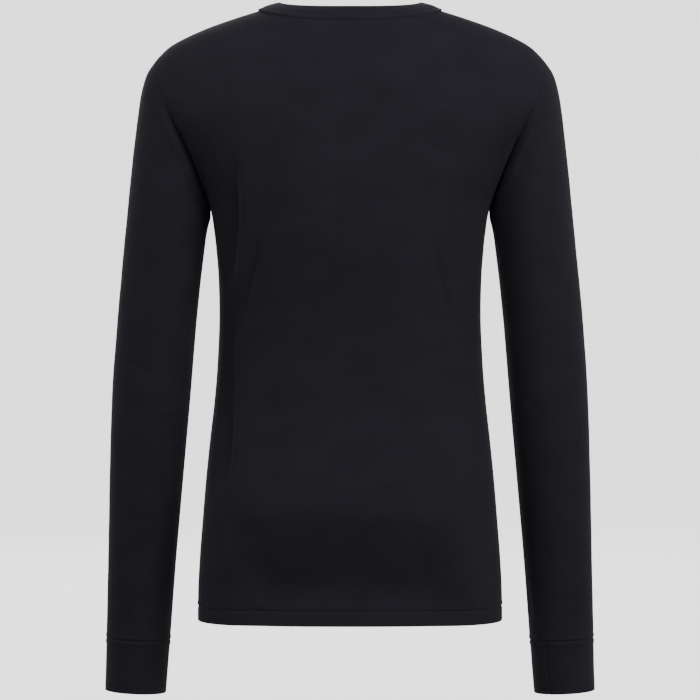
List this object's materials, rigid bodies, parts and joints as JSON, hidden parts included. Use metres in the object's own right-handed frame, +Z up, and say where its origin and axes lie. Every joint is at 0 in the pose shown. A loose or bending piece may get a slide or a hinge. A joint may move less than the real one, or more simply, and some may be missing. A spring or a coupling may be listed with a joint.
{
  "type": "base layer top",
  "caption": "Slim long-sleeved crew-neck base layer top in fine dark jersey, worn form with open neck, hem and cuffs.",
  "frame": {"origin": "Midway between the high shoulder points, where the neckband meets the shoulder seams, in the plane of the side seams. It is where the wearer's shoulders carry the top.", "axes": "+Z up along the wearer's body, -Y out of the wearer's chest so that the back faces +Y, +X to the wearer's left."},
  "size_m": [0.5612, 0.2272, 0.783],
  "materials": {
    "jersey": "fine soft near-black jersey, matte with a faint sheen",
    "doubled_jersey": "the same jersey folded double and pressed"
  },
  "bodies": {
    "root": {"back": "jersey", "front": "jersey", "sleeve_left_upper": "jersey", "sleeve_left_lower": "jersey", "sleeve_right_upper": "jersey", "sleeve_right_lower": "jersey", "cuff_left": "doubled_jersey", "cuff_right": "doubled_jersey", "neckband": "doubled_jersey"}
  },
  "joints": []
}
